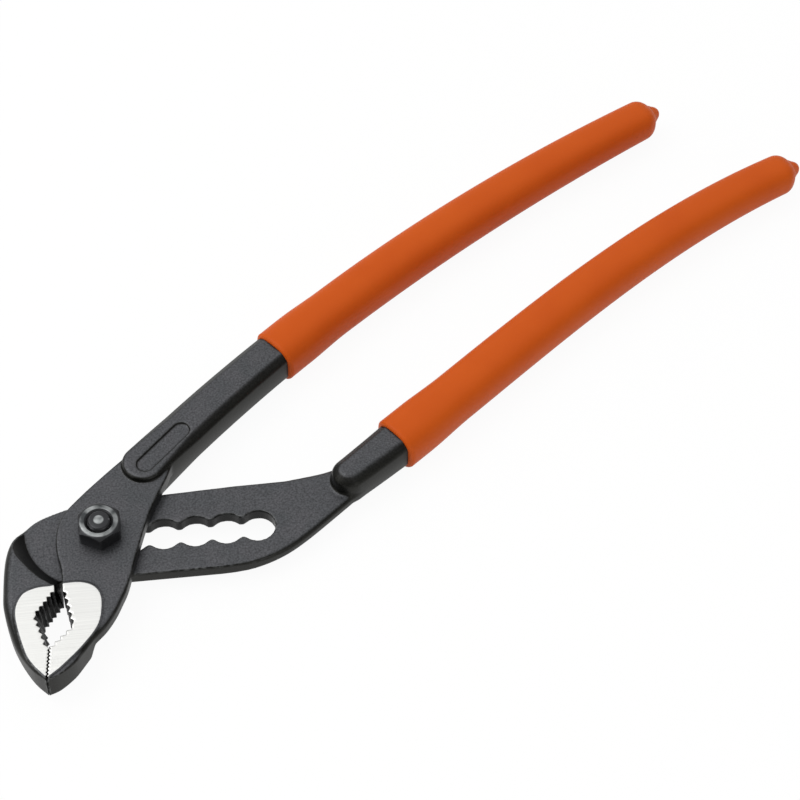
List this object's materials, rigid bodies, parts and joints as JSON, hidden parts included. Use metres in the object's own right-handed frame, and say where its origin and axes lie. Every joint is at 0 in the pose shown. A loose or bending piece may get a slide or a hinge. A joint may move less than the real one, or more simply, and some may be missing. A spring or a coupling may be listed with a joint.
{
  "type": "water pump pliers",
  "caption": "Slip-joint water pump pliers: two black forged levers lapped on a bolt in a scalloped slot, toothed angled jaws, bowed handles in orange dipped sleeves.",
  "frame": {"origin": "on the pivot axis, at the bolt head's flat rear face, which the tool rests on", "axes": "+Z along the pivot axis from the bolt head to the nut, +X along the slot toward the handles"},
  "size_m": [0.2249, 0.1728, 0.0158],
  "materials": {
    "forged_steel": "forged, black phosphate, jaw faces ground bright",
    "dipped_pvc": "smooth dipped orange PVC, soft sheen",
    "blacked_steel": "black oxide"
  },
  "bodies": {
    "lower": {"lower_lever": "forged_steel", "lower_grip": "dipped_pvc"},
    "carrier": {"pivot_washer": "blacked_steel"},
    "upper": {"upper_lever": "forged_steel", "upper_grip": "dipped_pvc", "pivot_bolt": "blacked_steel", "pivot_nut": "blacked_steel"}
  },
  "joints": [
    {"name": "setting", "type": "slide", "parent": "lower", "child": "carrier", "axis": [1, 0, 0], "range_m": [0, 0.04]},
    {"name": "jaw_opening", "type": "hinge", "parent": "carrier", "child": "upper", "pos_m": [0, 0, 0.0066], "axis": [0, 0, 1], "range_deg": [0, 65]}
  ]
}
